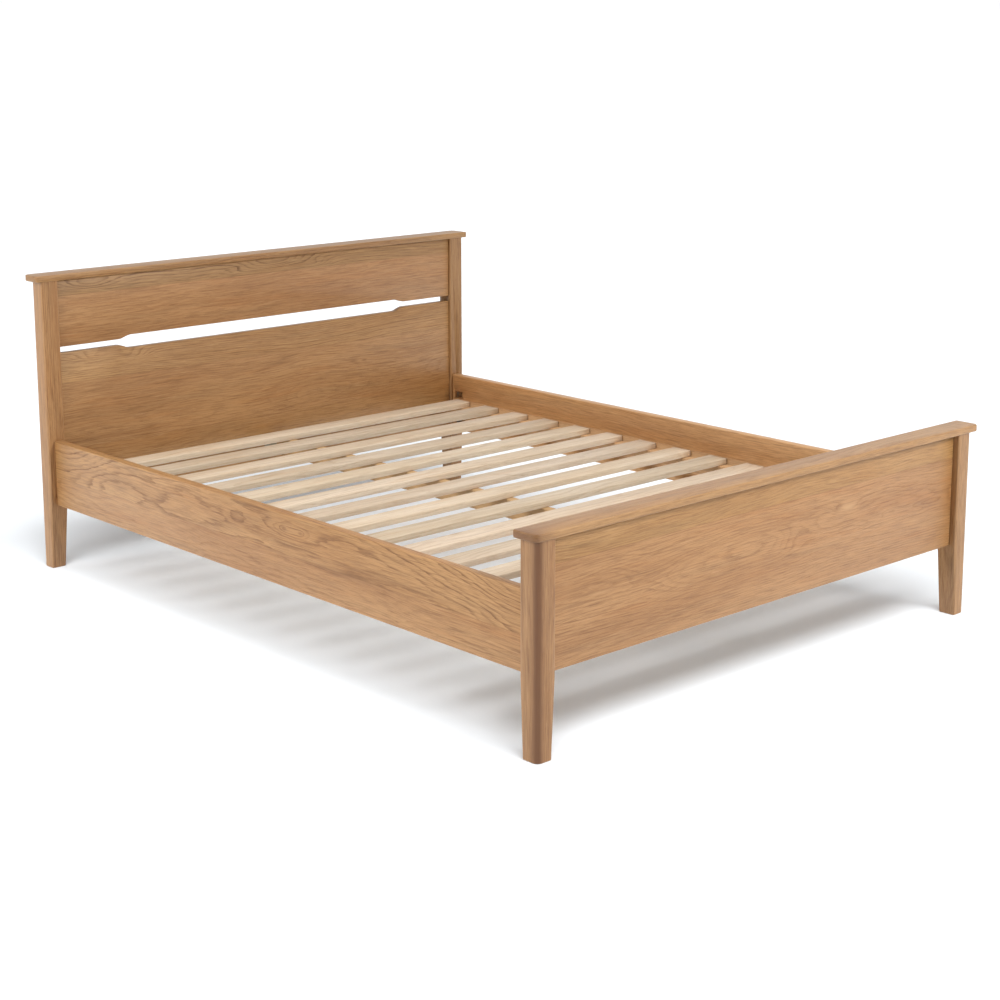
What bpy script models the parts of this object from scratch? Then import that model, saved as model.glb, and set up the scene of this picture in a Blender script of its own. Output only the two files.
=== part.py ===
"""Wooden bed frame for a 150 x 200 cm mattress.

Two tall head posts and two short foot posts carry a cap board each. The headboard is an upper
and a lower panel with a see-through slot between them, and the footboard is one panel. Two side
rails are bolted between the posts. Ledges inside the rails and a centre rail carry the slats.

Units are metres, +Z is up, X runs across the bed and Y along it, with the head at +Y. The
origin is on the floor at the middle of the bed.
"""
import math

import bmesh
import bpy
from mathutils import Matrix, Vector

# Gap kept between pieces that touch.
GAP = 0.0003

# Posts, measured over their outer faces.
POSTS_WIDTH = 1.620
POSTS_LENGTH = 2.130
POST_WIDTH = 0.055
POST_DEPTH = 0.0575
POST_OUTER_RADIUS = 0.014
POST_EDGE_RADIUS = 0.005
POST_TAPER_X = 0.010
POST_TAPER_Y = 0.008
POST_FOOT_ROUND = 0.003
HEADBOARD_HEIGHT = 0.875
FOOTBOARD_HEIGHT = 0.528

# Cap boards.
CAP_THICKNESS = 0.018
CAP_END_OVERHANG = 0.018
CAP_OUTER_OVERHANG = 0.012
CAP_INNER_OVERHANG = 0.005
CAP_OUTER_RADIUS = 0.018
CAP_INNER_RADIUS = 0.006
CAP_EDGE_ROUND = 0.003

# Head and foot panels.
PANEL_EDGE_ROUND = 0.002
PANEL_BOTTOM = 0.197
HEAD_PANEL_SETBACK = 0.008
HEAD_PANEL_THICKNESS = 0.022
FOOT_PANEL_SETBACK = 0.018
FOOT_PANEL_THICKNESS = 0.020
TONGUE_THICKNESS = 0.010
TONGUE_DEPTH = 0.013
TONGUE_SHOULDER = 0.015
TOP_TONGUE = 0.008

# The slot between the two head panels: a narrow run at each end, a wide one in the middle.
SLOT_NARROW_BOTTOM = 0.642
SLOT_NARROW_TOP = 0.660
SLOT_WIDE_BOTTOM = 0.6305
SLOT_WIDE_TOP = 0.670
SLOT_WIDE_HALF_LENGTH = 0.512
SLOT_STEP_LENGTH = 0.044
SLOT_STEP_POINTS = 8

# Side rails.
RAIL_TOP = 0.385
RAIL_BOTTOM = 0.192
RAIL_THICKNESS = 0.028
RAIL_SETBACK = 0.019
RAIL_EDGE_ROUND = 0.003

# Slats, ledges and centre rail.
SLAT_COUNT = 14
SLAT_PITCH = 0.1448
SLAT_WIDTH = 0.068
SLAT_THICKNESS = 0.018
SLAT_END_GAP = 0.003
SLAT_EDGE_ROUND = 0.002
SLAT_SEAT = 0.285
LEDGE_BOTTOM = 0.263
LEDGE_WIDTH = 0.048
LEDGE_LIP_WIDTH = 0.006
LEDGE_LENGTH = 1.960
CENTRE_RAIL_WIDTH = 0.028
CENTRE_RAIL_HEIGHT = 0.055
SADDLE_STEEL = 0.003
SADDLE_LENGTH = 0.040
SADDLE_FLANGE = 0.016
SADDLE_SCREW_RADIUS = 0.0025

# Bolted joints between the rails and the posts. Distances run inwards from the rail's end.
BOLT_HEIGHTS = {"upper": 0.316, "lower": 0.226}
BOLT_RADIUS = 0.0039
BOLT_HOLE_RADIUS = 0.0043
BOLT_IN_POST = 0.038
BOLT_HOLE_IN_POST = 0.042
BOLT_HEAD_ACROSS = 0.013
BOLT_HEAD_THICKNESS = 0.0055
POCKET_START = 0.014
POCKET_END = 0.054
POCKET_HEIGHT = 0.024
POCKET_DEPTH = 0.022
WASHER_THICKNESS = 0.004
WASHER_HEIGHT = 0.022
WASHER_WIDTH = 0.015
INSERT_RADIUS = 0.006
INSERT_BORE = 0.0041
INSERT_LENGTH = 0.022
INSERT_CLEARANCE = 0.0003

# Post tops fit into the caps with a stub tenon.
STUB_SIDE = 0.028
STUB_HEIGHT = 0.008

ROUND_SEGMENTS = 20
FRONT = -1
BACK = 1


def clear_scene():
    for item in list(bpy.data.objects):
        bpy.data.objects.remove(item, do_unlink=True)


def make_material(name, colour, roughness, metallic=0.0):
    material = bpy.data.materials.new(name)
    material.use_nodes = True
    shader = material.node_tree.nodes["Principled BSDF"]
    shader.inputs["Base Color"].default_value = (*colour, 1.0)
    shader.inputs["Roughness"].default_value = roughness
    shader.inputs["Metallic"].default_value = metallic
    material.diffuse_color = (*colour, 1.0)
    return material


def oak(name):
    return make_material(name, (0.42, 0.24, 0.12), 0.55)


def pine(name):
    return make_material(name, (0.66, 0.52, 0.35), 0.65)


def zinc(name):
    return make_material(name, (0.62, 0.60, 0.56), 0.35, 1.0)


def place(name, form, material=None):
    """Make an object of a bmesh in world coordinates, with its origin at the middle of its box."""
    bmesh.ops.recalc_face_normals(form, faces=form.faces)
    corners = [vert.co.copy() for vert in form.verts]
    low = Vector([min(corner[axis] for corner in corners) for axis in range(3)])
    high = Vector([max(corner[axis] for corner in corners) for axis in range(3)])
    middle = (low + high) / 2
    bmesh.ops.translate(form, verts=form.verts, vec=-middle)
    mesh = bpy.data.meshes.new(name)
    form.to_mesh(mesh)
    form.free()
    item = bpy.data.objects.new(name, mesh)
    item.location = middle
    bpy.context.scene.collection.objects.link(item)
    if material:
        mesh.materials.append(material)
    return item


def smooth(item, angle=math.radians(35)):
    item.data.shade_smooth()
    item.data.set_sharp_from_angle(angle=angle)


def ease_edges(item, width, segments=2):
    """Round every sharp edge of a piece by the same small amount."""
    bevel = item.modifiers.new("eased_edges", "BEVEL")
    bevel.width = width
    bevel.segments = segments
    bevel.limit_method = "ANGLE"
    bevel.angle_limit = math.radians(40)


def as_cutter(item):
    item.hide_render = True
    item.display_type = "WIRE"
    return item


def cut(item, cutter, operation="DIFFERENCE"):
    boolean = item.modifiers.new(cutter.name, "BOOLEAN")
    boolean.operation = operation
    boolean.solver = "EXACT"
    boolean.object = as_cutter(cutter)


def join(item, addition):
    cut(item, addition, "UNION")


def box_form(low, high):
    form = bmesh.new()
    bmesh.ops.create_cube(form, size=1.0)
    low, high = Vector(low), Vector(high)
    bmesh.ops.scale(form, vec=high - low, verts=form.verts)
    bmesh.ops.translate(form, vec=(low + high) / 2, verts=form.verts)
    return form


def box(name, low, high, material=None):
    """A box between two corners, given in any order."""
    lows = [min(pair) for pair in zip(low, high)]
    highs = [max(pair) for pair in zip(low, high)]
    return place(name, box_form(lows, highs), material)


def rounded(corners, steps):
    """An outline of (x, y, radius) corners, each turned into an arc of that radius."""
    points = []
    for index, (x, y, radius) in enumerate(corners):
        corner = Vector((x, y))
        to_last = (Vector(corners[index - 1][:2]) - corner).normalized()
        to_next = (Vector(corners[(index + 1) % len(corners)][:2]) - corner).normalized()
        half_angle = to_last.angle(to_next) / 2
        centre = corner + (to_last + to_next).normalized() * radius / math.sin(half_angle)
        reach = radius / math.tan(half_angle)
        start = corner + to_last * reach - centre
        end = corner + to_next * reach - centre
        first = math.atan2(start.y, start.x)
        sweep = (math.atan2(end.y, end.x) - first + math.pi) % (2 * math.pi) - math.pi
        for step in range(steps + 1):
            angle = first + sweep * step / steps
            points.append(centre + Vector((math.cos(angle), math.sin(angle))) * radius)
    return points


def loft(name, sections, material=None):
    """A solid through a stack of outlines, each a height and a list of (x, y) points."""
    form = bmesh.new()
    rings = [[form.verts.new((x, y, height)) for x, y in outline] for height, outline in sections]
    for lower, upper in zip(rings, rings[1:]):
        for index in range(len(lower)):
            after = (index + 1) % len(lower)
            form.faces.new((lower[index], lower[after], upper[after], upper[index]))
    form.faces.new(list(reversed(rings[0])))
    form.faces.new(rings[-1])
    return place(name, form, material)


def prism(name, outline, axis, low, high, material=None):
    """An outline pushed along X, Y or Z. Its points are the other two coordinates, in order."""
    form = bmesh.new()
    order = {"X": lambda a, b: (low, a, b), "Y": lambda a, b: (a, low, b), "Z": lambda a, b: (a, b, low)}
    face = form.faces.new([form.verts.new(order[axis](a, b)) for a, b in outline])
    pushed = bmesh.ops.extrude_face_region(form, geom=[face])
    moved = [part for part in pushed["geom"] if isinstance(part, bmesh.types.BMVert)]
    step = {"X": (1, 0, 0), "Y": (0, 1, 0), "Z": (0, 0, 1)}[axis]
    bmesh.ops.translate(form, verts=moved, vec=Vector(step) * (high - low))
    return place(name, form, material)


def turned(name, profile, closed, centre, axis, material=None):
    """A round solid from (radius, height) points, turned about an axis through a centre."""
    form = bmesh.new()
    ring = [form.verts.new((radius, 0.0, height)) for radius, height in profile]
    edges = [form.edges.new(pair) for pair in zip(ring, ring[1:])]
    if closed:
        edges.append(form.edges.new((ring[-1], ring[0])))
    bmesh.ops.spin(
        form, geom=ring + edges, cent=(0, 0, 0), axis=(0, 0, 1), angle=2 * math.pi,
        steps=ROUND_SEGMENTS, use_merge=True,
    )
    bmesh.ops.remove_doubles(form, verts=form.verts, dist=0.00001)
    turn = Vector((0, 0, 1)).rotation_difference(Vector(axis)).to_matrix().to_4x4()
    bmesh.ops.transform(form, matrix=Matrix.Translation(centre) @ turn, verts=form.verts)
    item = place(name, form, material)
    smooth(item)
    return item


def rod(name, radius, centre, axis, length, material=None):
    """A round bar from a centre point along an axis."""
    profile = [(0.0, 0.0), (radius, 0.0), (radius, length), (0.0, length)]
    return turned(name, profile, False, centre, axis, material)


# Names of the two sides and the two ends, with the sign of their coordinate.
SIDES = {"left": -1, "right": 1}
ENDS = {"head": BACK, "foot": FRONT}
BOARD_HEIGHTS = {"head": HEADBOARD_HEIGHT, "foot": FOOTBOARD_HEIGHT}

POST_INNER_X = POSTS_WIDTH / 2 - POST_WIDTH
POST_INNER_Y = POSTS_LENGTH / 2 - POST_DEPTH
RAIL_OUTER_X = POSTS_WIDTH / 2 - RAIL_SETBACK
RAIL_INNER_X = RAIL_OUTER_X - RAIL_THICKNESS
RAIL_MIDDLE_X = (RAIL_OUTER_X + RAIL_INNER_X) / 2
RAIL_END_Y = POST_INNER_Y - GAP
HEAD_PANEL_FRONT = POST_INNER_Y + HEAD_PANEL_SETBACK
HEAD_PANEL_MIDDLE = HEAD_PANEL_FRONT + HEAD_PANEL_THICKNESS / 2
FOOT_PANEL_FRONT = -POSTS_LENGTH / 2 + FOOT_PANEL_SETBACK
FOOT_PANEL_BACK = FOOT_PANEL_FRONT + FOOT_PANEL_THICKNESS
FOOT_PANEL_MIDDLE = FOOT_PANEL_FRONT + FOOT_PANEL_THICKNESS / 2
PANEL_MIDDLES = {"head": HEAD_PANEL_MIDDLE, "foot": FOOT_PANEL_MIDDLE}


def cap_underside(end):
    return BOARD_HEIGHTS[end] - CAP_THICKNESS


def post_outline(side, end, inset, taper):
    """A post's outline, shrunk by inset, with its two inner faces pulled in by taper (0 to 1)."""
    width = POST_WIDTH - POST_TAPER_X * taper - inset
    depth = POST_DEPTH - POST_TAPER_Y * taper - inset
    corners = [
        (inset, inset, POST_OUTER_RADIUS - inset),
        (width, inset, POST_EDGE_RADIUS - inset),
        (width, depth, POST_EDGE_RADIUS - inset),
        (inset, depth, POST_EDGE_RADIUS - inset),
    ]
    outline = []
    for inwards_x, inwards_y in rounded(corners, 5):
        outline.append((side * (POSTS_WIDTH / 2 - inwards_x), end * (POSTS_LENGTH / 2 - inwards_y)))
    return outline


def make_post(end_name, side_name):
    side, end = SIDES[side_name], ENDS[end_name]
    name = f"{end_name}_post_{side_name}"
    top = cap_underside(end_name) - GAP
    round_over = POST_FOOT_ROUND
    sections = [
        (0.0, post_outline(side, end, round_over, 1.0)),
        (round_over * 0.3, post_outline(side, end, round_over * 0.3, 1.0)),
        (round_over, post_outline(side, end, 0.0, 1.0 - round_over / RAIL_BOTTOM)),
        (RAIL_BOTTOM, post_outline(side, end, 0.0, 0.0)),
        (top, post_outline(side, end, 0.0, 0.0)),
    ]
    post = loft(name, sections, oak(f"{name}_oak"))
    smooth(post)
    join(post, post_stub(end_name, side_name, f"{name}_stub", 0.0))
    for mortise in post_mortises(end_name, side_name, name):
        cut(post, mortise)
    for level, height in BOLT_HEIGHTS.items():
        face = (side * RAIL_MIDDLE_X, end * (POST_INNER_Y - GAP), height)
        outwards = (0, end, 0)
        hole = rod(f"{name}_{level}_hole", BOLT_HOLE_RADIUS, face, outwards, BOLT_HOLE_IN_POST)
        seat_radius = INSERT_RADIUS + INSERT_CLEARANCE
        seat_depth = INSERT_LENGTH + 3 * GAP
        seat = rod(f"{name}_{level}_seat", seat_radius, face, outwards, seat_depth)
        cut(post, hole)
        cut(post, seat)
    return post


def post_stub(end_name, side_name, name, clearance):
    """The stub tenon on a post's top, or its mortise in the cap when it has a clearance."""
    side, end = SIDES[side_name], ENDS[end_name]
    middle_x = side * (POSTS_WIDTH - POST_WIDTH) / 2
    middle_y = end * (POSTS_LENGTH - POST_DEPTH) / 2
    half = STUB_SIDE / 2 + clearance
    foot = cap_underside(end_name) - STUB_HEIGHT
    top = cap_underside(end_name) + STUB_HEIGHT - GAP + clearance
    return box(name, (middle_x - half, middle_y - half, foot), (middle_x + half, middle_y + half, top))


def tongue_box(name, end_name, side_name, low, high, clearance):
    """A panel's end tongue, or its mortise in the post when it has a clearance."""
    side = SIDES[side_name]
    half = TONGUE_THICKNESS / 2 + clearance
    middle = PANEL_MIDDLES[end_name]
    start = side * (POST_INNER_X - TONGUE_DEPTH)
    tip = side * (POST_INNER_X + TONGUE_DEPTH - GAP + clearance)
    return box(name, (start, middle - half, low - clearance), (tip, middle + half, high + clearance))


def panel_spans(end_name):
    """Each panel of an end: its name and the heights between which its end tongues run."""
    if end_name == "foot":
        top = cap_underside("foot") - TONGUE_SHOULDER
        return {"foot_panel": (PANEL_BOTTOM + TONGUE_SHOULDER, top)}
    upper_top = cap_underside("head") - TONGUE_SHOULDER
    return {
        "head_panel_lower": (PANEL_BOTTOM + TONGUE_SHOULDER, SLOT_NARROW_BOTTOM - TONGUE_SHOULDER),
        "head_panel_upper": (SLOT_NARROW_TOP + TONGUE_SHOULDER, upper_top),
    }


def post_mortises(end_name, side_name, post_name):
    mortises = []
    for panel, (low, high) in panel_spans(end_name).items():
        name = f"{post_name}_mortise_{panel}"
        mortises.append(tongue_box(name, end_name, side_name, low, high, GAP))
    return mortises


def slot_edge(narrow, wide):
    """Points of a slot edge from -X to +X: level, an ogee step, level, an ogee step, level."""
    half = POST_INNER_X - GAP
    steps = []
    for number in range(SLOT_STEP_POINTS + 1):
        share = number / SLOT_STEP_POINTS
        rise = (1 - math.cos(math.pi * share)) / 2
        steps.append((SLOT_WIDE_HALF_LENGTH + SLOT_STEP_LENGTH * (1 - share), narrow + (wide - narrow) * rise))
    left = [(-x, z) for x, z in steps]
    right = list(reversed(steps))
    return [(-half, narrow)] + left + right + [(half, narrow)]


def finish_panel(panel, end_name):
    """Ease a panel's edges and add the tongues at its two ends."""
    ease_edges(panel, PANEL_EDGE_ROUND)
    low, high = panel_spans(end_name)[panel.name]
    for side_name in SIDES:
        name = f"{panel.name}_tongue_{side_name}"
        join(panel, tongue_box(name, end_name, side_name, low, high, 0.0))


def top_tongue(name, end_name, clearance):
    """The tongue along a panel's top, or its groove in the cap when it has a clearance."""
    half_length = POST_INNER_X - TONGUE_SHOULDER + clearance
    half = TONGUE_THICKNESS / 2 + clearance
    middle = PANEL_MIDDLES[end_name]
    low = cap_underside(end_name) - TOP_TONGUE
    high = cap_underside(end_name) + TOP_TONGUE - GAP + clearance
    return box(name, (-half_length, middle - half, low), (half_length, middle + half, high))


def make_head_panels():
    half = POST_INNER_X - GAP
    back = HEAD_PANEL_FRONT + HEAD_PANEL_THICKNESS
    lower_top = slot_edge(SLOT_NARROW_BOTTOM, SLOT_WIDE_BOTTOM)
    lower_outline = lower_top + [(half, PANEL_BOTTOM), (-half, PANEL_BOTTOM)]
    lower = prism("head_panel_lower", lower_outline, "Y", HEAD_PANEL_FRONT, back, oak("head_panel_lower_oak"))
    finish_panel(lower, "head")
    upper_bottom = slot_edge(SLOT_NARROW_TOP, SLOT_WIDE_TOP)
    top = cap_underside("head") - GAP
    upper_outline = upper_bottom + [(half, top), (-half, top)]
    upper = prism("head_panel_upper", upper_outline, "Y", HEAD_PANEL_FRONT, back, oak("head_panel_upper_oak"))
    finish_panel(upper, "head")
    join(upper, top_tongue("head_panel_upper_top_tongue", "head", 0.0))


def make_foot_panel():
    half = POST_INNER_X - GAP
    low = (-half, FOOT_PANEL_FRONT, PANEL_BOTTOM)
    high = (half, FOOT_PANEL_BACK, cap_underside("foot") - GAP)
    panel = box("foot_panel", low, high, oak("foot_panel_oak"))
    finish_panel(panel, "foot")
    join(panel, top_tongue("foot_panel_top_tongue", "foot", 0.0))


def make_cap(end_name):
    end = ENDS[end_name]
    name = f"{end_name}_cap"
    half = POSTS_WIDTH / 2 + CAP_END_OVERHANG
    outer = end * (POSTS_LENGTH / 2 + CAP_OUTER_OVERHANG)
    inner = end * (POST_INNER_Y - CAP_INNER_OVERHANG)
    corners = [
        (-half, outer, CAP_OUTER_RADIUS),
        (half, outer, CAP_OUTER_RADIUS),
        (half, inner, CAP_INNER_RADIUS),
        (-half, inner, CAP_INNER_RADIUS),
    ]
    outline = rounded(corners, 6)
    cap = prism(name, outline, "Z", cap_underside(end_name), BOARD_HEIGHTS[end_name], oak(f"{name}_oak"))
    smooth(cap)
    ease_edges(cap, CAP_EDGE_ROUND, 3)
    cut(cap, top_tongue(f"{name}_groove", end_name, GAP))
    for side_name in SIDES:
        cut(cap, post_stub(end_name, side_name, f"{name}_mortise_{side_name}", GAP))


def make_side_rail(side_name):
    side = SIDES[side_name]
    name = f"side_rail_{side_name}"
    low = (side * RAIL_INNER_X, -RAIL_END_Y, RAIL_BOTTOM)
    high = (side * RAIL_OUTER_X, RAIL_END_Y, RAIL_TOP)
    rail = box(name, low, high, oak(f"{name}_oak"))
    ease_edges(rail, RAIL_EDGE_ROUND)
    for end_name, end in ENDS.items():
        for level, height in BOLT_HEIGHTS.items():
            mark = f"{name}_{end_name}_{level}"
            start = end * (RAIL_END_Y - POCKET_START)
            stop = end * (RAIL_END_Y - POCKET_END)
            mouth = side * (RAIL_INNER_X - RAIL_EDGE_ROUND)
            bottom = side * (RAIL_INNER_X + POCKET_DEPTH)
            low = (mouth, start, height - POCKET_HEIGHT / 2)
            high = (bottom, stop, height + POCKET_HEIGHT / 2)
            cut(rail, box(f"{mark}_pocket", low, high))
            inside = (side * RAIL_MIDDLE_X, end * (RAIL_END_Y - POCKET_START - GAP), height)
            hole_length = POCKET_START + 3 * GAP
            cut(rail, rod(f"{mark}_hole", BOLT_HOLE_RADIUS, inside, (0, end, 0), hole_length))


def make_ledge(side_name):
    """A rebated strip: the slats sit on its seat, against the lip that stands along the rail."""
    side = SIDES[side_name]
    name = f"slat_ledge_{side_name}"
    rail_face = RAIL_INNER_X - GAP
    lip_top = SLAT_SEAT + SLAT_THICKNESS
    outline = [
        (rail_face - LEDGE_WIDTH, LEDGE_BOTTOM),
        (rail_face, LEDGE_BOTTOM),
        (rail_face, lip_top),
        (rail_face - LEDGE_LIP_WIDTH, lip_top),
        (rail_face - LEDGE_LIP_WIDTH, SLAT_SEAT),
        (rail_face - LEDGE_WIDTH, SLAT_SEAT),
    ]
    outline = [(side * x, z) for x, z in outline]
    prism(name, outline, "Y", -LEDGE_LENGTH / 2, LEDGE_LENGTH / 2, pine(f"{name}_pine"))


def make_slats():
    half = RAIL_INNER_X - LEDGE_LIP_WIDTH - SLAT_END_GAP
    bottom = SLAT_SEAT + GAP
    for number in range(SLAT_COUNT):
        middle = ((SLAT_COUNT - 1) / 2 - number) * SLAT_PITCH
        low = (-half, middle - SLAT_WIDTH / 2, bottom)
        high = (half, middle + SLAT_WIDTH / 2, bottom + SLAT_THICKNESS)
        slat = box(f"slat_{number + 1:02d}", low, high, pine(f"slat_{number + 1:02d}_pine"))
        ease_edges(slat, SLAT_EDGE_ROUND)


def make_centre_rail():
    head_end = HEAD_PANEL_FRONT - SADDLE_STEEL - 2 * GAP
    foot_end = FOOT_PANEL_BACK + SADDLE_STEEL + 2 * GAP
    half = CENTRE_RAIL_WIDTH / 2
    bottom = SLAT_SEAT - CENTRE_RAIL_HEIGHT
    rail = box("centre_rail", (-half, foot_end, bottom), (half, head_end, SLAT_SEAT), pine("centre_rail_pine"))
    ease_edges(rail, SLAT_EDGE_ROUND, 1)


def make_saddle(end_name):
    """A folded steel saddle, screwed to a panel, that holds one end of the centre rail."""
    name = f"centre_rail_saddle_{end_name}"
    wall = {"head": HEAD_PANEL_FRONT - GAP, "foot": FOOT_PANEL_BACK + GAP}[end_name]
    inwards = -ENDS[end_name]
    inner = CENTRE_RAIL_WIDTH / 2 + GAP
    outer = inner + SADDLE_STEEL
    floor_top = SLAT_SEAT - CENTRE_RAIL_HEIGHT - GAP
    floor_bottom = floor_top - SADDLE_STEEL
    top = SLAT_SEAT - CENTRE_RAIL_HEIGHT / 4
    channel = [
        (-outer, floor_bottom), (outer, floor_bottom), (outer, top),
        (inner, top), (inner, floor_top), (-inner, floor_top), (-inner, top), (-outer, top),
    ]
    start, stop = sorted((wall, wall + inwards * SADDLE_LENGTH))
    saddle = prism(name, channel, "Y", start, stop, zinc(f"{name}_steel"))
    flange = outer + SADDLE_FLANGE
    plate_end = wall + inwards * SADDLE_STEEL
    join(saddle, box(f"{name}_plate", (-flange, wall, floor_bottom), (flange, plate_end, top)))
    middle = (floor_bottom + top) / 2
    for side in SIDES.values():
        centre = (side * (outer + SADDLE_FLANGE / 2), wall - inwards * SADDLE_STEEL, middle)
        length = 3 * SADDLE_STEEL
        hole = rod(f"{name}_screw_hole_{side}", SADDLE_SCREW_RADIUS, centre, (0, inwards, 0), length)
        cut(saddle, hole)


def make_joint_hardware(end_name, side_name, level):
    """One bolted joint: the bolt, the half-moon washer under its head and the insert in the post."""
    side, end = SIDES[side_name], ENDS[end_name]
    mark = f"{end_name}_{side_name}_{level}"
    middle_x, height = side * RAIL_MIDDLE_X, BOLT_HEIGHTS[level]
    outwards = (0, end, 0)

    washer_near = end * (RAIL_END_Y - POCKET_START - GAP)
    washer_far = washer_near - end * WASHER_THICKNESS
    half_height = WASHER_HEIGHT / 2
    flat_x = RAIL_MIDDLE_X - WASHER_WIDTH / 2
    round_x = RAIL_MIDDLE_X + WASHER_WIDTH / 2
    corners = [
        (flat_x, height - half_height, 0.001), (round_x, height - half_height, 0.010),
        (round_x, height + half_height, 0.010), (flat_x, height + half_height, 0.001),
    ]
    outline = [(side * x, z) for x, z in rounded(corners, 5)]
    start, stop = sorted((washer_near, washer_far))
    washer_name = f"half_moon_washer_{mark}"
    washer = prism(washer_name, outline, "Y", start, stop, zinc(f"{washer_name}_steel"))
    through = (middle_x, washer_far - end * GAP, height)
    hole_length = WASHER_THICKNESS + 2 * GAP
    cut(washer, rod(f"{washer_name}_hole", BOLT_HOLE_RADIUS, through, outwards, hole_length))

    head_near = washer_far - end * GAP
    head_far = head_near - end * BOLT_HEAD_THICKNESS
    corner_radius = BOLT_HEAD_ACROSS / 2 / math.cos(math.pi / 6)
    hexagon = [
        (middle_x + corner_radius * math.cos(math.pi / 3 * step),
         height + corner_radius * math.sin(math.pi / 3 * step)) for step in range(6)
    ]
    start, stop = sorted((head_near, head_far))
    bolt_name = f"rail_bolt_{mark}"
    bolt = prism(bolt_name, hexagon, "Y", start, stop, zinc(f"{bolt_name}_steel"))
    shank_start = (middle_x, head_far + end * BOLT_HEAD_THICKNESS / 2, height)
    shank_length = abs(end * (POST_INNER_Y + BOLT_IN_POST) - shank_start[1])
    join(bolt, rod(f"{bolt_name}_shank", BOLT_RADIUS, shank_start, outwards, shank_length))

    profile = [(INSERT_BORE, 0.0), (INSERT_RADIUS, 0.0), (INSERT_RADIUS, INSERT_LENGTH), (INSERT_BORE, INSERT_LENGTH)]
    mouth = (middle_x, end * (POST_INNER_Y + GAP), height)
    insert_name = f"threaded_insert_{mark}"
    turned(insert_name, profile, True, mouth, outwards, zinc(f"{insert_name}_steel"))


def make_bed():
    clear_scene()
    for end_name in ENDS:
        for side_name in SIDES:
            make_post(end_name, side_name)
        make_cap(end_name)
        make_saddle(end_name)
    make_head_panels()
    make_foot_panel()
    for side_name in SIDES:
        make_side_rail(side_name)
        make_ledge(side_name)
    make_slats()
    make_centre_rail()
    for end_name in ENDS:
        for side_name in SIDES:
            for level in BOLT_HEIGHTS:
                make_joint_hardware(end_name, side_name, level)


make_bed()
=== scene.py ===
import math

import bmesh
import bpy
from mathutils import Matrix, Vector


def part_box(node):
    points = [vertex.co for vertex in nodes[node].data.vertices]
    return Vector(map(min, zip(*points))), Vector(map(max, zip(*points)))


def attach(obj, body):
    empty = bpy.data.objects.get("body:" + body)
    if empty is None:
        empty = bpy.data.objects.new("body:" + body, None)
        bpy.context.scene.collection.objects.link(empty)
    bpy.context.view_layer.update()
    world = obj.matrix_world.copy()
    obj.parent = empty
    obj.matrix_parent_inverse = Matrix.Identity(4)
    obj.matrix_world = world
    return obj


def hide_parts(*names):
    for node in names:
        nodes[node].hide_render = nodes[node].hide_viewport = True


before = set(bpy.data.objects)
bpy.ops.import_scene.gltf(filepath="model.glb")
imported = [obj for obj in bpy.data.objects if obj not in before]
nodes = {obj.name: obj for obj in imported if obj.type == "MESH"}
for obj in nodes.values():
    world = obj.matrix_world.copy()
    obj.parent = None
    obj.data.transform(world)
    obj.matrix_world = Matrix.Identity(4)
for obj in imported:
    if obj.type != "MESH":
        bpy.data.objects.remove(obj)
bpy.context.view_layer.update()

BED = "root"

# Points this close become one, faces that meet at less than the first angle become one flat face,
# and an edge past the second angle stays sharp.
MERGE = 0.00001
FLAT_BELOW = math.radians(0.5)
SHARP_ABOVE = math.radians(35)


# ---------------------------------------------------------------- small helpers

def srgb(red, green, blue):
    """A colour given as 0 to 255 screen values, as the linear values that shaders use."""
    linear = []
    for value in (red, green, blue):
        share = value / 255
        linear.append(share / 12.92 if share <= 0.04045 else ((share + 0.055) / 1.055) ** 2.4)
    return (*linear, 1.0)


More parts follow.
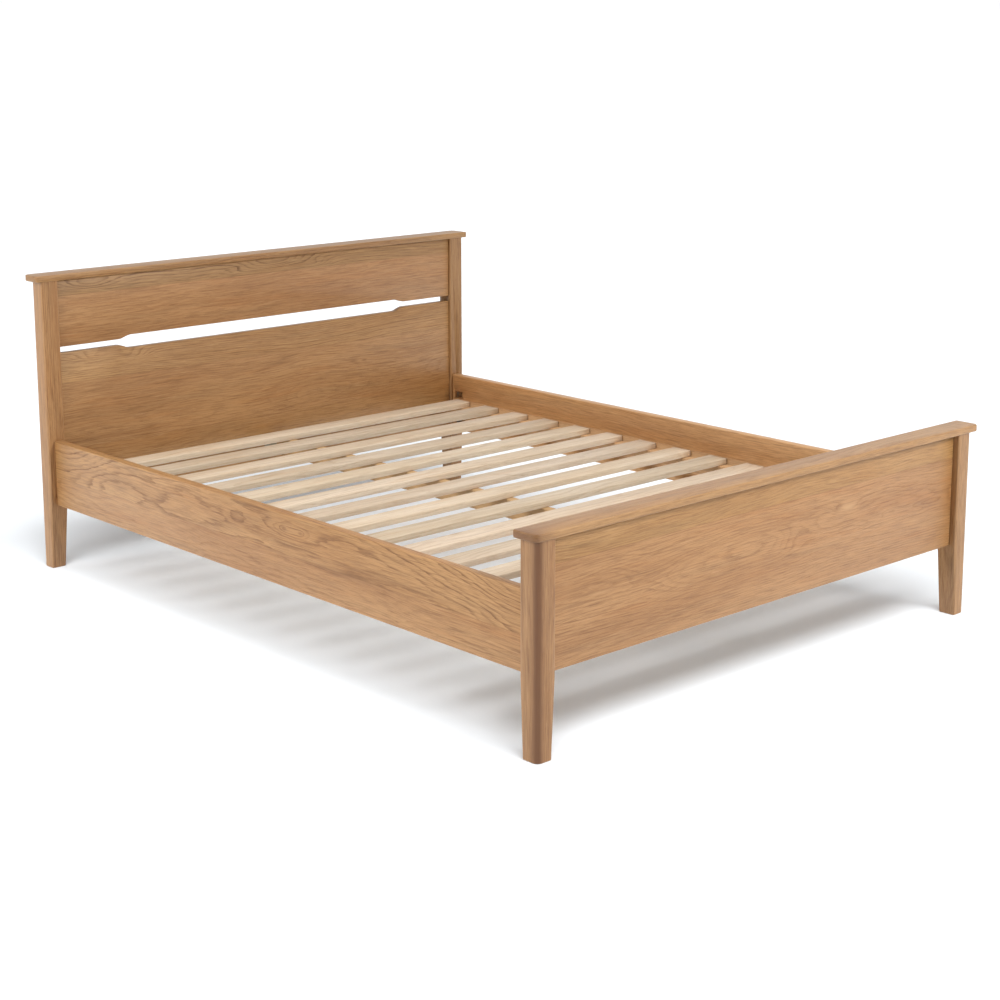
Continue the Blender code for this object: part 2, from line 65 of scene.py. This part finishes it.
class Graph:
    """Short calls for building a node tree. Each returns the output socket of the node it adds."""

    def __init__(self, tree):
        self.tree = tree

    def add(self, kind, inputs=(), **settings):
        node = self.tree.nodes.new(kind)
        for name, value in settings.items():
            setattr(node, name, value)
        pairs = inputs.items() if isinstance(inputs, dict) else enumerate(inputs)
        for name, value in pairs:
            if isinstance(value, bpy.types.NodeSocket):
                self.tree.links.new(value, node.inputs[name])
            else:
                node.inputs[name].default_value = value
        return node

    def math(self, operation, *values, clamp=False):
        return self.add("ShaderNodeMath", values, operation=operation, use_clamp=clamp).outputs[0]

    def vector(self, x, y, z):
        return self.add("ShaderNodeCombineXYZ", (x, y, z)).outputs[0]

    def split(self, vector):
        return self.add("ShaderNodeSeparateXYZ", (vector,)).outputs

    def noise(self, vector, detail=2.0, roughness=0.5):
        """Fractal noise, roughly 0 to 1 around 0.5. Its scale is set on the vector."""
        inputs = {"Vector": vector, "Scale": 1.0, "Detail": detail, "Roughness": roughness}
        return self.add("ShaderNodeTexNoise", inputs).outputs[0]

    def random(self, value):
        """A repeatable random number from 0 to 1 for each different value."""
        return self.add("ShaderNodeTexWhiteNoise", {"W": value}, noise_dimensions="1D").outputs[0]

    def ramp(self, value, low, high, to_low=0.0, to_high=1.0):
        """A smooth step from to_low to to_high while the value goes from low to high."""
        inputs = {"Value": value, "From Min": low, "From Max": high, "To Min": to_low, "To Max": to_high}
        return self.add("ShaderNodeMapRange", inputs, interpolation_type="SMOOTHSTEP").outputs[0]

    def centred(self, value):
        """A 0 to 1 value moved to -0.5 to 0.5."""
        return self.math("SUBTRACT", value, 0.5)

    def bell(self, gap_one, gap_two):
        """1 where both gaps are 0, falling softly to 0 as either grows past 1."""
        away = self.math("MULTIPLY_ADD", gap_one, gap_one, self.math("MULTIPLY", gap_two, gap_two))
        return self.math("EXPONENT", self.math("MULTIPLY", away, -1.0))

    def gap(self, value, centre, width):
        return self.math("DIVIDE", self.math("SUBTRACT", value, centre), width)

    def mix(self, share, first, second):
        """Two colours mixed. A Mix node's colour sockets are 6, 7 and output 2."""
        return self.add("ShaderNodeMix", {0: share, 6: first, 7: second}, data_type="RGBA").outputs[2]


def new_material(name):
    material = bpy.data.materials.new(name)
    material.use_nodes = True
    tree = material.node_tree
    return material, Graph(tree), tree.nodes["Principled BSDF"]


def wire(graph, shader, name, socket):
    graph.tree.links.new(socket, shader.inputs[name])


def bump(graph, shader, height, distance, strength):
    node = graph.add("ShaderNodeBump", {"Height": height, "Distance": distance, "Strength": strength})
    wire(graph, shader, "Normal", node.outputs[0])


# ---------------------------------------------------------------- wood

OAK = {
    "light": srgb(177, 134, 86), "mid": srgb(163, 119, 72), "dark": srgb(106, 64, 25),
    "warm": srgb(169, 118, 66), "grey": srgb(150, 115, 74), "worn": srgb(188, 148, 102),
}
# A paler, greyer copy of the oak for the right rail: painted light standing in for the light on its inner
# face.
PAINTED_LIGHT_OAK = {
    "light": srgb(172, 134, 92), "mid": srgb(158, 119, 78), "dark": srgb(104, 68, 32),
    "warm": srgb(163, 117, 72), "grey": srgb(146, 115, 80), "worn": srgb(184, 148, 108),
}
PINE = {
    "light": srgb(215, 199, 180), "mid": srgb(202, 183, 160), "dark": srgb(150, 116, 84),
    "warm": srgb(206, 175, 144), "grey": srgb(187, 172, 157), "worn": srgb(217, 203, 184),
}
DEAL = {
    "light": srgb(206, 168, 124), "mid": srgb(193, 153, 109), "dark": srgb(130, 88, 52),
    "warm": srgb(197, 150, 103), "grey": srgb(177, 146, 111), "worn": srgb(212, 176, 134),
}


# How fast each layer of the figure varies along and across the grain, in cycles per metre.
RIPPLE = (2.6, 20.0)
BAND = (1.2, 12.0)
PATCH = (3.0, 38.0)
FLECK = (10.0, 200.0)
FIBRE = (15.0, 420.0)
PORE = (70.0, 1500.0)
SCUFF = (9.0, 30.0)

# Edge wear starts this far from an edge and is gone at the second distance, in metres.
WORN_NEAR = 0.0008
WORN_FAR = 0.0050
GLUE_LINE = 0.0012


def edge_distance(graph, low, high):
    """Metres from the nearest edge of the board's box, for a point on its surface."""
    place = graph.split(graph.add("ShaderNodeTexCoord").outputs["Object"])
    gaps = []
    for axis in range(3):
        half = (high[axis] - low[axis]) / 2
        offset = graph.math("SUBTRACT", place[axis], (low[axis] + high[axis]) / 2)
        gaps.append(graph.math("SUBTRACT", half, graph.math("ABSOLUTE", offset)))
    small = graph.math("MINIMUM", gaps[0], gaps[1])
    large = graph.math("MAXIMUM", gaps[0], gaps[1])
    return graph.math("MAXIMUM", small, graph.math("MINIMUM", large, gaps[2]))


class Board:
    """A point's place in a board, in metres from its middle: x along the grain, y across, z through.

    A board is glued up from staves, and every stave is cut from a different part of a log.
    """

    def __init__(self, graph, low, high, grain, seed, staves):
        self.graph = graph
        self.seed = seed
        size = high - low
        along = "XYZ".index(grain)
        across, through = sorted((axis for axis in range(3) if axis != along), key=lambda axis: -size[axis])
        place = graph.split(graph.add("ShaderNodeTexCoord").outputs["Object"])
        middle = (low + high) / 2
        self.x, self.y, self.z = (
            graph.math("SUBTRACT", place[axis], middle[axis]) for axis in (along, across, through))
        self.overs = [graph.math("GREATER_THAN", self.y, edge) for edge in staves]
        self.own = self.by_stave([seed * 7.31 + 3.7 * count for count in range(len(staves) + 1)])
        self.chance = graph.random(self.own)
        self.chance_two = graph.random(graph.math("ADD", self.own, 0.5))
        self.shift = graph.math("MULTIPLY", self.chance, 40.0)
        self.slow = graph.noise(graph.vector(graph.math("MULTIPLY", self.x, 0.9), self.shift, seed))
        self.slow_two = graph.noise(graph.vector(graph.math("MULTIPLY", self.x, 1.3), seed, self.shift))
        self.wavy = graph.math("MULTIPLY_ADD", graph.centred(self.slow_two), 0.07, self.y)

    def by_stave(self, values):
        """The value of the stave a point lies in."""
        total = values[0]
        for over, before, after in zip(self.overs, values, values[1:]):
            total = self.graph.math("MULTIPLY_ADD", over, after - before, total)
        return total

    def layer(self, cycles, detail=2.0, roughness=0.5, wavy=True):
        """Noise drawn out along the grain. The wavy kind sways with the grain and differs by stave."""
        graph = self.graph
        along, across = cycles
        sideways, shift = (self.wavy, self.shift) if wavy else (self.y, 0.0)
        place = graph.vector(graph.math("MULTIPLY_ADD", self.x, along, shift),
                             graph.math("MULTIPLY", sideways, across), graph.math("MULTIPLY", self.z, across))
        return graph.noise(place, detail, roughness)


def growth_years(graph, board, pith, wander, spacing, sway):
    """Years of growth at a point, counted from a pith that wanders slowly and so draws long arches."""
    pith_y = graph.math("MULTIPLY", graph.centred(board.chance_two), pith[0] * 6)
    pith_y = graph.math("SUBTRACT", pith_y, graph.math("MULTIPLY", graph.centred(board.slow), wander * 3))
    pith_z = graph.math("MULTIPLY_ADD", board.chance, pith[1] * 0.6, pith[1])
    pith_z = graph.math("ADD", pith_z, graph.math("MULTIPLY", graph.centred(board.slow_two), wander * 4))
    from_y = graph.math("SUBTRACT", board.y, pith_y)
    from_z = graph.math("ADD", board.z, pith_z)
    reach = graph.math("MULTIPLY_ADD", from_y, from_y, graph.math("MULTIPLY", from_z, from_z))
    years = graph.math("DIVIDE", graph.math("SQRT", reach), spacing)
    return graph.math("MULTIPLY_ADD", graph.centred(board.layer(RIPPLE, 4.0, 0.6)), sway, years)


def bend_round_knots(graph, board, years, knots):
    """The years bent round each knot, and the strengths of the pale and the dark patches on them."""
    pale = []
    deep = []
    for along, across, length, width, rings, shade in knots:
        hill = graph.bell(graph.gap(board.x, along, length), graph.gap(board.y, across, width))
        years = graph.math("MULTIPLY_ADD", hill, rings, years)
        if shade:
            spots = pale if shade > 0 else deep
            spots.append(graph.math("MULTIPLY", graph.math("POWER", hill, 2.0), abs(shade), clamp=True))
    return years, pale, deep


def year_lines(graph, board, years):
    """One soft dark line for each year, no two of them equally dark."""
    year = graph.math("FLOOR", years)
    season = graph.math("FRACT", years)
    strength = graph.ramp(graph.random(graph.math("ADD", year, board.own)), 0.0, 1.0, 0.25, 1.0)
    line = graph.math("MULTIPLY", graph.ramp(season, 0.0, 0.10), graph.ramp(season, 0.10, 0.55, 1.0, 0.0))
    return graph.math("MULTIPLY", line, strength)


def wood(name, low, high, grain, palette, seed, staves=(), pith=(0.02, 0.06), spacing=0.006,
         wander=0.03, sway=2.6, figure=(0.3,), tones=(0.0,), fleck=1.0, roughness=0.40, knots=(),
         corner=None):
    """Solid wood. The growth rings run round a wandering pith, so every face is cut from the same log.

    staves are the glue lines, in metres across from the middle. figure and tones hold one value a stave:
    how dark its year lines are, and how much lighter or darker the whole stave is. pith sets how far the
    pith lies across from the board's middle and behind it, wander how far it strays along the board,
    spacing the width of a year, and sway how many years the rings ripple.

    knots are (along, across, length, width, rings, shade): they bend the rings, and make the wood darker
    where shade is below 0 or paler where it is above. corner is (across, through, width, shade): painted
    shade, a darker band along one long rounded corner. fleck is the strength of the flecks. Fibres and year
    lines make the wood rougher than roughness, and rubbed edges make it smoother.
    """
    material, graph, shader = new_material(name)
    board = Board(graph, low, high, grain, seed, staves)
    years = growth_years(graph, board, pith, wander, spacing, sway)
    years, pale, deep = bend_round_knots(graph, board, years, knots)
    ring = year_lines(graph, board, years)
    fibre = board.layer(FIBRE, 3.0, 0.6)
    flecks = board.layer(FLECK, 3.0, 0.68)
    pore = graph.ramp(board.layer(PORE, 1.0, wavy=False), 0.56, 0.68)
    band = board.layer(BAND, 2.0, 0.55)
    patch = board.layer(PATCH, 2.0, 0.6)

    def tint(share, shade, below):
        """The colour below with some of a palette shade over it."""
        return graph.mix(share, below, palette[shade])

    # Broad bands and patches, then the year lines, flecks, fibres and open pores.
    colour = graph.mix(graph.ramp(band, 0.32, 0.68), palette["mid"], palette["light"])
    colour = tint(graph.math("MULTIPLY", graph.ramp(patch, 0.52, 0.74), 0.5), "warm", colour)
    colour = tint(graph.math("MULTIPLY", graph.ramp(patch, 0.28, 0.47, 1.0, 0.0), 0.4), "grey", colour)
    broken = graph.math("MULTIPLY", ring, graph.ramp(flecks, 0.34, 0.60, 0.45, 1.25))
    colour = tint(graph.math("MULTIPLY", broken, board.by_stave(figure)), "dark", colour)
    colour = tint(graph.math("MULTIPLY", graph.ramp(flecks, 0.54, 0.66), 0.36 * fleck), "dark", colour)
    pale_fleck = graph.ramp(flecks, 0.26, 0.44, 1.0, 0.0)
    colour = tint(graph.math("MULTIPLY", pale_fleck, 0.55 * fleck), "worn", colour)
    dark_fibre = graph.ramp(fibre, 0.40, 0.54, 1.0, 0.0)
    colour = tint(graph.math("MULTIPLY", dark_fibre, 0.31 * fleck), "dark", colour)
    pore_dark = graph.math("MULTIPLY", pore, graph.math("MULTIPLY_ADD", ring, 0.35, 0.12))
    colour = tint(graph.math("MULTIPLY", pore_dark, fleck), "dark", colour)

    # Knots, painted shade along a corner, glue lines and rubbed edges.
    for spot in pale:
        colour = tint(spot, "worn", colour)
    for spot in deep:
        colour = tint(spot, "dark", colour)
    # The corner band is painted shade.
    if corner:
        across, through, width, shade = corner
        painted_corner_shade = graph.bell(graph.gap(board.y, across, width), graph.gap(board.z, through, width))
        colour = tint(graph.math("MINIMUM", graph.math("MULTIPLY", painted_corner_shade, shade), 0.9), "dark", colour)
    for edge in staves:
        from_glue = graph.math("ABSOLUTE", graph.math("SUBTRACT", board.y, edge))
        colour = tint(graph.ramp(from_glue, 0.0, GLUE_LINE, 0.30, 0.0), "dark", colour)
    edge = graph.ramp(edge_distance(graph, low, high), WORN_NEAR, WORN_FAR, 1.0, 0.0)
    rub = graph.math("MULTIPLY", edge, graph.ramp(board.layer(SCUFF, 3.0, 0.6, wavy=False), 0.35, 0.70))
    colour = tint(graph.math("MULTIPLY", rub, 0.35), "worn", colour)

    # Every stave is a little lighter or darker, and a little redder or yellower, than the next; the tones
    # also carry painted light and shade for whole pieces.
    level = graph.math("MULTIPLY_ADD", graph.centred(board.chance_two), 0.05,
                       board.by_stave([1.0 + tone for tone in tones]))
    hue = graph.math("MULTIPLY_ADD", graph.centred(board.chance), 0.008, 0.5)
    stained = graph.add("ShaderNodeHueSaturation", {"Hue": hue, "Value": level, "Color": colour})
    wire(graph, shader, "Base Color", stained.outputs[0])

    rough = graph.math("MULTIPLY_ADD", fibre, 0.16, roughness)
    rough = graph.math("MULTIPLY_ADD", ring, 0.08, rough)
    rough = graph.math("MULTIPLY_ADD", rub, -0.08, rough)
    wire(graph, shader, "Roughness", rough)
    height = graph.math("MULTIPLY_ADD", pore_dark, -2.0, graph.math("MULTIPLY", fibre, 0.5))
    height = graph.math("MULTIPLY_ADD", ring, -0.25, height)
    bump(graph, shader, height, 0.0004, 0.5)
    return material


# ---------------------------------------------------------------- metal

def zinc(name, seed):
    material, graph, shader = new_material(name)
    shader.inputs["Metallic"].default_value = 1.0
    place = graph.add("ShaderNodeTexCoord").outputs["Object"]
    spangle = graph.add("ShaderNodeTexVoronoi", {"Vector": place, "Scale": 260.0 + seed}).outputs["Color"]
    cloud = graph.add("ShaderNodeTexNoise", {"Vector": place, "Scale": 90.0, "Detail": 4.0}).outputs[0]
    tone = graph.math("ADD", graph.math("MULTIPLY", graph.split(spangle)[0], 0.25),
                      graph.math("MULTIPLY", cloud, 0.5))
    wire(graph, shader, "Base Color", graph.mix(tone, srgb(160, 154, 140), srgb(214, 210, 198)))
    wire(graph, shader, "Roughness", graph.math("ADD", graph.math("MULTIPLY", cloud, 0.25), 0.22))
    bump(graph, shader, cloud, 0.0002, 0.3)
    return material


# ---------------------------------------------------------------- pieces

def finer(node):
    """A copy of a CAD node with merged faces and smooth arcs, which is shown in its place."""
    source = nodes[node]
    form = bmesh.new()
    form.from_mesh(source.data)
    bmesh.ops.remove_doubles(form, verts=form.verts, dist=MERGE)
    bmesh.ops.dissolve_limit(form, angle_limit=FLAT_BELOW, verts=form.verts, edges=form.edges,
                             delimit=set())
    mesh = bpy.data.meshes.new(f"{node}_board")
    form.to_mesh(mesh)
    form.free()
    piece = bpy.data.objects.new(f"{node}_board", mesh)
    bpy.context.scene.collection.objects.link(piece)
    mesh.shade_smooth()
    mesh.set_sharp_from_angle(angle=SHARP_ABOVE)
    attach(piece, BED)
    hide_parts(node)
    return piece


def paint(item, material):
    item.data.materials.clear()
    item.data.materials.append(material)


def oak_piece(node, grain, seed, palette=OAK, **look):
    """An oak board under a thin satin coat of wax."""
    low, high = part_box(node)
    piece = finer(node)
    material = wood(f"{node}_oak", low, high, grain, palette, seed, knots=KNOTS.get(node, ()), **look)
    coat = material.node_tree.nodes["Principled BSDF"].inputs
    coat["Coat Weight"].default_value = 0.22
    coat["Coat Roughness"].default_value = 0.32
    paint(piece, material)


def pine_piece(node, grain, seed, palette=PINE, **look):
    """A planed board without a coat, paler and plainer than the oak."""
    low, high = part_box(node)
    piece = finer(node)
    look.setdefault("figure", (0.22,))
    look.setdefault("fleck", 0.55)
    look.setdefault("roughness", 0.58)
    paint(piece, wood(f"{node}_pine", low, high, grain, palette, seed, **look))


# Knots, arches and dark or pale streaks, as wood() takes them, in metres from each board's middle.
# The foot cap's two entries are painted shade, on its rounded front-left corner and over its left end.
KNOTS = {
    "foot_cap": ((-0.826, -0.037, 0.016, 0.014, 0.0, -0.5), (-0.850, 0.0, 0.085, 0.110, 0.0, -0.90)),
    "head_panel_upper": (
        (-0.650, 0.075, 0.100, 0.025, 4.0, 0.0), (0.020, 0.080, 0.130, 0.030, 5.0, 0.0),
        (0.180, 0.060, 0.060, 0.012, 2.0, 0.2), (-0.100, 0.060, 0.070, 0.012, 2.0, 0.2)),
    "head_panel_lower": (
        (-0.600, 0.195, 0.120, 0.022, 5.0, 0.0), (-0.500, 0.180, 0.060, 0.014, 3.0, 0.1),
        (0.335, 0.066, 0.022, 0.006, 1.0, -0.5), (0.380, 0.062, 0.016, 0.004, 1.0, -0.5),
        (-0.580, -0.045, 0.220, 0.012, 0.0, -0.35), (0.600, -0.080, 0.150, 0.014, 2.0, -0.15)),
    "foot_panel": (
        (0.300, 0.028, 0.045, 0.014, 2.0, 0.7), (0.250, 0.030, 0.020, 0.010, 1.0, -0.3),
        (0.481, -0.016, 0.045, 0.013, 2.0, 0.15), (0.636, -0.017, 0.080, 0.010, 2.0, -0.25),
        (0.110, -0.006, 0.080, 0.035, 3.0, 0.0), (-0.662, -0.021, 0.090, 0.006, 0.0, -0.35),
        (-0.600, -0.010, 0.050, 0.005, 0.0, 0.5), (-0.378, 0.026, 0.150, 0.040, 3.0, 0.0)),
    "side_rail_left": (
        (1.050, 0.100, 0.500, 0.080, 7.0, 0.0), (-1.050, 0.100, 0.480, 0.090, 10.0, 0.0),
        (-0.150, 0.056, 0.090, 0.022, 3.4, 0.20), (-0.118, 0.059, 0.016, 0.008, 1.0, -0.4),
        (-0.190, 0.058, 0.014, 0.008, 1.0, -0.3), (0.090, 0.044, 0.050, 0.022, 1.3, -0.30),
        (-0.330, -0.012, 0.260, 0.012, 0.0, -0.45), (0.250, -0.014, 0.160, 0.010, 0.0, -0.30),
        (-0.550, 0.010, 0.300, 0.008, 0.0, -0.30)),
}

# The tones below lighten or darken whole pieces as painted light and shade: most the right rail, then the
# left rail (1.10 to 1.12), the far head post (0.84) and the near foot post.
POST = {"pith": (0.004, 0.10), "wander": 0.006, "figure": (0.35,)}
oak_piece("head_post_left", "Z", 1.0, **POST)
oak_piece("head_post_right", "Z", 2.0, tones=(-0.16,), **POST)
# The near foot post's rounded outer corner gets a band of painted shade.
oak_piece("foot_post_left", "Z", 3.0, tones=(-0.08,), corner=(-0.0285, -0.0272, 0.016, 1.1), **POST)
oak_piece("foot_post_right", "Z", 4.0, tones=(-0.05,), **POST)
oak_piece("head_cap", "X", 5.0, figure=(0.60,), tones=(-0.09,))
oak_piece("foot_cap", "X", 6.0, figure=(0.20,))
oak_piece("head_panel_upper", "X", 7.0, staves=(0.047,), figure=(0.14, 0.85), tones=(0.0, -0.06),
          spacing=0.008)
oak_piece("head_panel_lower", "X", 8.0, staves=(-0.067, 0.130), figure=(0.24, 0.14, 0.46),
          tones=(0.02, 0.01, 0.03))
oak_piece("foot_panel", "X", 9.0, staves=(0.085,), figure=(0.26, 0.20), tones=(0.06, 0.05), wander=0.05)
oak_piece("side_rail_left", "Y", 10.0, staves=(-0.0095,), figure=(0.20, 0.72), tones=(0.10, 0.12),
          spacing=0.007, pith=(0.02, 0.16), sway=3.4)
# The right rail is painted 1.5 times lighter than its palette, as painted light on its inner face.
oak_piece("side_rail_right", "Y", 11.0, palette=PAINTED_LIGHT_OAK, staves=(0.01,), figure=(0.20, 0.16),
          tones=(0.50, 0.50))

LEDGE = {"palette": DEAL, "figure": (0.15,)}
pine_piece("slat_ledge_left", "Y", 12.0, **LEDGE)
pine_piece("slat_ledge_right", "Y", 13.0, **LEDGE)
SLAT_TONES = (0.04, -0.09, 0.02, -0.08, 0.01, 0.02, -0.06, 0.02, -0.07, 0.01, -0.06, 0.02, -0.03, 0.00)
for number, tone in enumerate(SLAT_TONES, 1):
    pine_piece(f"slat_{number:02d}", "X", 20.0 + number, tones=(tone,), spacing=0.010)
pine_piece("centre_rail", "Y", 40.0, palette=DEAL, tones=(-0.12,))

for index, (name, item) in enumerate(sorted(nodes.items())):
    if name.startswith(("rail_bolt", "half_moon_washer", "threaded_insert", "centre_rail_saddle")):
        paint(item, zinc(f"{name}_zinc", index))


# ---------------------------------------------------------------- floor, light and camera

FLOOR_REACH = 500.0
CAMERA_PLACE = (-3.5961, -3.9735, 1.6383)
CAMERA_DOWN, CAMERA_ROLL, CAMERA_TURN = 11.19, 0.07, -42.63
VIEWER = Vector((-0.70, -0.71, 0.10)).normalized()
WARM_WHITE = (1.0, 0.96, 0.87)


def floor_sheet():
    """A pale floor that runs to the horizon."""
    form = bmesh.new()
    bmesh.ops.create_grid(form, x_segments=2, y_segments=2, size=FLOOR_REACH)
    mesh = bpy.data.meshes.new("floor")
    form.to_mesh(mesh)
    form.free()
    floor = bpy.data.objects.new("floor", mesh)
    bpy.context.scene.collection.objects.link(floor)
    material, graph, shader = new_material("floor_paint")
    shader.inputs["Roughness"].default_value = 0.9
    shader.inputs["Base Color"].default_value = (0.885, 0.93, 0.97, 1.0)
    shader.inputs["Specular IOR Level"].default_value = 0.1
    mesh.materials.append(material)
    return floor


def limit_light(item, floor, state):
    """Limit a light to the floor alone (INCLUDE), or to everything but the floor (EXCLUDE)."""
    receivers = bpy.data.collections.new(f"{item.name}_receivers")
    receivers.objects.link(floor)
    receivers.collection_objects[0].light_linking.link_state = state
    item.light_linking.receiver_collection = receivers


def sun(name, energy, spread, travel):
    """A distant light. Travel is the way its rays go, and spread the angle it fills, in degrees."""
    light = bpy.data.lights.new(name, "SUN")
    light.energy = energy
    light.angle = math.radians(spread)
    item = bpy.data.objects.new(name, light)
    item.rotation_euler = Vector(travel).to_track_quat("-Z", "Y").to_euler()
    bpy.context.scene.collection.objects.link(item)
    return item


def softbox(name, place, aim, size, power, tint):
    """A square area light at one place, turned towards another."""
    light = bpy.data.lights.new(name, "AREA")
    light.size = size
    light.energy = power
    light.color = tint
    item = bpy.data.objects.new(name, light)
    item.location = place
    item.rotation_euler = (Vector(aim) - Vector(place)).to_track_quat("-Z", "Y").to_euler()
    bpy.context.scene.collection.objects.link(item)
    return item


def studio(floor):
    """A white studio that is darker towards the viewer. The floor and the bed have their own lights."""
    scene = bpy.context.scene
    world = bpy.data.worlds.new("studio")
    scene.world = world
    world.use_nodes = True
    graph = Graph(world.node_tree)
    background = world.node_tree.nodes["Background"]
    background.inputs["Color"].default_value = (1.0, 1.0, 1.0, 1.0)
    ray = graph.add("ShaderNodeTexCoord").outputs["Generated"]
    towards = graph.add("ShaderNodeVectorMath", (ray, VIEWER), operation="DOT_PRODUCT").outputs["Value"]
    height = graph.split(ray)[2]
    sky = graph.ramp(height, 0.15, 0.90, 1.02, 0.50)
    lit = graph.math("MULTIPLY", sky, graph.ramp(towards, -0.50, 0.65, 1.0, 0.0))
    graph.tree.links.new(lit, background.inputs["Strength"])
    lights = (
        (sun("overhead", 1.35, 30, (0.0, 0.05, -1.0)), "EXCLUDE"),
        (sun("floor_overhead", 1.65, 26, (0.03, 0.60, -1.0)), "INCLUDE"),
        (sun("floor_key", 2.7, 44, (0.75, 0.70, -1.0)), "INCLUDE"),
        (softbox("left_light", (-6.2, 0.4, 3.5), (-0.8, 0.0, 0.2), 2.4, 275, WARM_WHITE), "EXCLUDE"),
        (softbox("front_light", (1.4, -6.6, 4.0), (0.0, -1.0, 0.3), 2.4, 380, WARM_WHITE), "EXCLUDE"))
    for light, state in lights:
        limit_light(light, floor, state)
    scene.view_settings.view_transform = "Standard"
    scene.view_settings.look = "None"


def camera():
    lens = bpy.data.cameras.new("camera")
    lens.sensor_width = 36.0
    lens.lens = 69.95
    lens.shift_y = -0.1101
    lens.clip_end = 4 * FLOOR_REACH
    item = bpy.data.objects.new("camera", lens)
    item.location = CAMERA_PLACE
    item.rotation_euler = [math.radians(angle) for angle in (90 - CAMERA_DOWN, CAMERA_ROLL, CAMERA_TURN)]
    bpy.context.scene.collection.objects.link(item)
    bpy.context.scene.camera = item


studio(floor_sheet())
camera()
